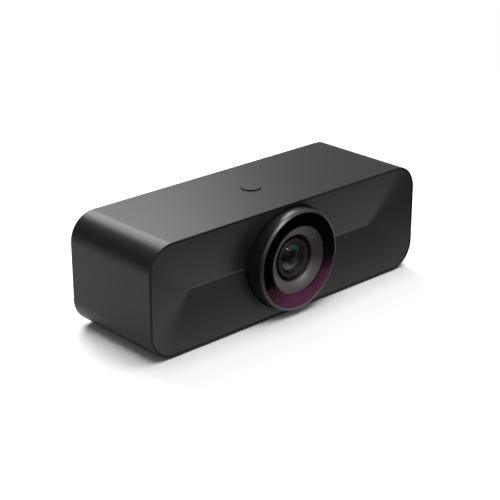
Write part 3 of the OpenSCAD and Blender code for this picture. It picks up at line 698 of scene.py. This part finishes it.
def lens_surround():
    """The black ring, its satin trim, the window, the black band behind it and the cone."""
    ring = lathe([(RING_BORE_R, RING_BACK), (RING_TAIL_R, RING_BACK), (RING_TAIL_R, -VALLEY_DEPTH),
                  (RING_R, -VALLEY_DEPTH), (RING_FRONT_R, TRIM_BACK - SLIP),
                  (WINDOW_R + SLIP, TRIM_BACK - SLIP), (WINDOW_R + SLIP, LEDGE_OUT),
                  (RING_BORE_R, LEDGE_OUT)])
    piece("lens_surround", soften(ring, width=0.2 * MM), "lens_ring")
    trim = lathe([(WINDOW_R, TRIM_BACK), (RING_FRONT_R, TRIM_BACK), (RING_FRONT_R, TRIM_BACK + TRIM_CHAMFER),
                  (WINDOW_R + TRIM_CHAMFER, RING_OUT), (WINDOW_R, RING_OUT)])
    piece("trim", soften(trim, width=0.08 * MM), "trim_ring")
    pane_r = WINDOW_R - SLIP / 2
    pane = lathe([(0, WINDOW_BACK), (pane_r, WINDOW_BACK), (pane_r, WINDOW_FRONT), (0, WINDOW_FRONT)])
    piece("window_pane", pane, "window")
    band = lathe([(HOOD_MOUTH_R, MASK_BACK), (WINDOW_R, MASK_BACK), (WINDOW_R, WINDOW_BACK),
                  (HOOD_MOUTH_R, WINDOW_BACK)])
    piece("black_band", soften(band, width=0.05 * MM), "mask_ring")
    tail_r = HOOD_THROAT_R + HOOD_WALL
    hood = lathe([(HOOD_MOUTH_R, MASK_BACK), (WINDOW_R, MASK_BACK), (WINDOW_R, LEDGE_OUT),
                  (HOOD_MOUTH_R + HOOD_WALL, LEDGE_OUT), (tail_r, THROAT_OUT - HOOD_WALL / 2),
                  (tail_r, HOOD_END), (HOOD_THROAT_R, HOOD_END), (HOOD_THROAT_R, THROAT_OUT)])
    piece("hood", soften(hood, width=0.15 * MM), "lens_hood")


def lens():
    """The domed front element, the stepped ring in front of it and the barrel round both."""
    dome_at = SIGHT_OUT - SLIP - math.sqrt(DOME_R * DOME_R - SIGHT_R * SIGHT_R)
    hollow_at = GLASS_BACK - math.sqrt(HOLLOW_R * HOLLOW_R - HOLLOW_MOUTH_R * HOLLOW_MOUTH_R)
    front = lathe(arc(HOLLOW_R, hollow_at, 0, HOLLOW_MOUTH_R) + [(GLASS_R, GLASS_BACK)]
                  + arc(DOME_R, dome_at, GLASS_R, 0))
    piece("front_glass", front, "front_element")
    rise = (RETAINER_OUT - SIGHT_OUT - STAIR_FOOT) / STAIRS
    tread = (RETAINER_R - RETAINER_LAND - SIGHT_R) / STAIRS
    stairs = []
    for i in range(STAIRS):
        r = SIGHT_R + i * tread
        out = SIGHT_OUT + STAIR_FOOT + i * rise
        stairs += [(r, out), (r + tread - SLIP, out + STAIR_TILT)]
    seat_r = GLASS_R + SLIP / 2
    retainer = lathe([(SIGHT_R, SIGHT_OUT)] + stairs
                     + [(RETAINER_R - RETAINER_LAND, RETAINER_OUT), (RETAINER_R, RETAINER_OUT),
                        (RETAINER_R, SIGHT_OUT - SLIP), (seat_r, SIGHT_OUT - SLIP), (seat_r, SIGHT_OUT)])
    piece("glass_retainer", soften(retainer, width=0.05 * MM), "lens_retainer")
    dressed("barrel", "lens_barrel", width=0.08 * MM)


def button():
    """The push button: a round cap with a skirt under the housing and a stem down to the switch."""
    top = BUTTON_HIGH.z
    under = top - BUTTON_TALL
    skirt_r = BUTTON_HIGH.x
    cap = lathe([(0, under), (BUTTON_STEM_R, under), (skirt_r, under), (skirt_r, under + BUTTON_SKIRT),
                 (BUTTON_R, under + BUTTON_SKIRT), (BUTTON_R, top), (0, top)],
                foot=Vector((0, BUTTON_Y, 0)), axis=UP, sides=BUTTON_SIDES)
    cap = join(cap, upright(BUTTON_STEM_R, 0, BUTTON_Y, BUTTON_LOW.z, under + SLIP, SCREW_SIDES))
    piece("button", soften(cap, width=0.25 * MM, steps=3), "button_cap")


def snap_dome():
    """The dome under the plunger, with a mesh of its own. Nothing here makes it give way as the button goes
    down.
    """
    dome = dressed("snap_dome", "switch_dome", width=0.01 * MM)
    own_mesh(dome)


def underside():
    """The four feet and the brass thread insert."""
    pads = bmesh.new()
    for x, y in PADS:
        add_rod(pads, PAD_R, (x, y, PAD_LOW.z), (x, y, PAD_HIGH.z))
    piece("feet", soften(pads, width=0.2 * MM, steps=3), "foot_pads")
    dressed("thread_insert", "tripod_insert", width=0.15 * MM)


def back():
    """The back cover with its screws, the port and the plate behind the lock slot."""
    dressed("back_cover", "rear_cover", width=0.2 * MM)
    dressed("back_screws", "rear_screws", width=0.15 * MM)
    dressed("port_shell", "usb_socket", width=0.06 * MM)
    dressed("port_tongue", "usb_tongue", width=0.05 * MM)
    dressed("lock_plate", "lock_bracket", width=0.1 * MM)


# Stage
FADE_START = 0.2
FADE_END = 0.55

# Power of a lamp, in watts, for each square metre of a face that shows as white
WHITE_POWER = 4


def floor_finish():
    """White floor that keeps the object's shadow and fades to plain white further out."""
    finish = Finish("floor", specular=0.0, Roughness=1.0, Base_Color=grey(0.93))
    far = distance(finish.along("X"), finish.along("Y")).within(FADE_START, FADE_END)
    glow = finish.add("ShaderNodeEmission", inputs={"Strength": 1.0})
    lit = Field(finish, finish.shader.outputs[0])
    faded = finish.add("ShaderNodeMixShader", inputs={0: far * finish.seen(), 1: lit, 2: glow})
    finish.fill(finish.tree.nodes["Material Output"], {"Surface": faded})
    return finish.material


def board(name, size, where, finish):
    """A flat panel of the studio that isn't part of the object. One of its sizes is 0: Y or Z."""
    bm = bmesh.new()
    bmesh.ops.create_grid(bm, x_segments=1, y_segments=1, size=0.5)
    stand = Matrix.Rotation(math.pi / 2, 4, "X") if size[1] == 0 else Matrix.Identity(4)
    bmesh.ops.transform(bm, matrix=stand, verts=bm.verts)
    bmesh.ops.scale(bm, vec=size, verts=bm.verts)
    bmesh.ops.translate(bm, vec=where, verts=bm.verts)
    thing = mesh_object(name, bm)
    thing.data.materials.append(finish)
    return thing


def flag(name, size, where, level, fade=None):
    """A card that shows only in gloss, with a grey level of its own. A fade is a place along Y where
    that level starts to change, a place where it has changed, and the new level."""
    finish = Finish(name, specular=0.0, Roughness=1.0, Base_Color=grey(0.0), Emission_Color=grey(level),
                    Emission_Strength=1.0)
    if fade:
        near, far, far_level = fade
        away = (finish.along("Y") * -1).within(-near, -far)
        finish.feed(Emission_Color=finish.blend(away, grey(level), grey(far_level)))
    card = board(name, size, where, finish.material)
    card.visible_camera = False
    card.visible_diffuse = False
    card.visible_shadow = False


def world(diffuse):
    """White to the eye and in gloss, and dimmer as a light on the object."""
    surroundings = bpy.data.worlds.new("world")
    bpy.context.scene.world = surroundings
    surroundings.use_nodes = True
    nodes = Nodes(surroundings.node_tree)
    strength = nodes.add("ShaderNodeMapRange",
                         inputs={"Value": nodes.seen(), "To Min": diffuse, "To Max": 1.0})
    nodes.fill(nodes.tree.nodes["Background"], {"Color": grey(1), "Strength": strength})


def softbox(name, where, towards, width, height, level, roll=0, diffuse=True):
    """A rectangular lamp whose face has a brightness, where 1 is white. It may show only in gloss."""
    light = bpy.data.lights.new(name, "AREA")
    light.shape = "RECTANGLE"
    light.size = width
    light.size_y = height
    light.energy = level * width * height * WHITE_POWER
    lamp = put_in_scene(name, light)
    lamp.location = where
    facing = (Vector(where) - Vector(towards)).to_track_quat("Z", "Y").to_matrix()
    lamp.rotation_euler = (facing @ Matrix.Rotation(roll, 3, "Z")).to_euler()
    lamp.visible_camera = False
    lamp.visible_diffuse = diffuse


# Camera, found from the housing's edges and corners in the photograph
VIEW_AZIMUTH = math.radians(-42.927)
VIEW_ELEVATION = math.radians(22.236)
VIEW_DISTANCE = 757.74 * MM
VIEW_RIGHT = -0.522 * MM
VIEW_UP = -4.812 * MM
FOCAL_LENGTH = 101.84
SENSOR_WIDTH = 36


def camera():
    """The camera at the photograph's viewing angle."""
    away = Vector((math.sin(VIEW_AZIMUTH) * math.cos(VIEW_ELEVATION),
                   -math.cos(VIEW_AZIMUTH) * math.cos(VIEW_ELEVATION), math.sin(VIEW_ELEVATION)))
    right = Vector((math.cos(VIEW_AZIMUTH), math.sin(VIEW_AZIMUTH), 0))
    up = away.cross(right)
    middle = Vector((0, (RIM_Y + BACK_Y) / 2, AXIS_Z))
    view = bpy.data.cameras.new("camera")
    view.lens = FOCAL_LENGTH
    view.sensor_width = SENSOR_WIDTH
    thing = put_in_scene("camera", view)
    spot = middle + right * VIEW_RIGHT + up * VIEW_UP + away * VIEW_DISTANCE
    thing.matrix_world = Matrix.Translation(spot) @ Matrix((right, up, away)).transposed().to_4x4()
    bpy.context.scene.camera = thing


# The object
for node, thing in frame["nodes"].items():
    thing.data.materials.clear()
    thing.data.materials.append(finish_of(node))
housing()
front_panel()
lens_surround()
lens()
button()
snap_dome()
underside()
back()

# The studio: places and sizes in metres, with levels where 1 is white
LAMP_AIM = (0, 0, 0.03)
GLINT_FROM = (0.13, -0.56, 0.27)
GLINT_ROLL = math.radians(49)
board("floor", size=(8, 8, 0), where=(0, 0, 0), finish=floor_finish())
flag("back_card", size=(3.2, 0, 1.3), where=(0, 0.95, 0.66), level=0.32)
flag("left_flag", size=(1.3, 0, 0.56), where=(-0.88, 0.70, 0.29), level=0.01)
flag("front_floor", size=(1.5, 1.215, 0), where=(0.30, -0.6375, 0.0004), level=0.82,
     fade=(-0.050, -0.100, 0.08))
flag("right_flag", size=(1.8, 0, 0.34), where=(1.65, -0.45, 0.17), level=0.05)
flag("low_flag", size=(0.55, 0, 0.12), where=(0.50, -0.45, 0.06), level=0.2)
world(diffuse=0.24)
softbox("overhead", (0.03, -0.12, 0.85), LAMP_AIM, width=0.9, height=0.7, level=3.15)
softbox("behind", (0.20, 0.60, 0.61), (0, 0, 0.05), width=0.52, height=0.54, level=7.8,
        roll=math.radians(-14))
softbox("glint", GLINT_FROM, LAMP_AIM, width=0.035, height=0.72, level=6, roll=GLINT_ROLL, diffuse=False)
softbox("spark", GLINT_FROM, LAMP_AIM, width=0.045, height=0.11, level=50, roll=GLINT_ROLL, diffuse=False)
camera()
bpy.context.scene.view_settings.view_transform = "Standard"
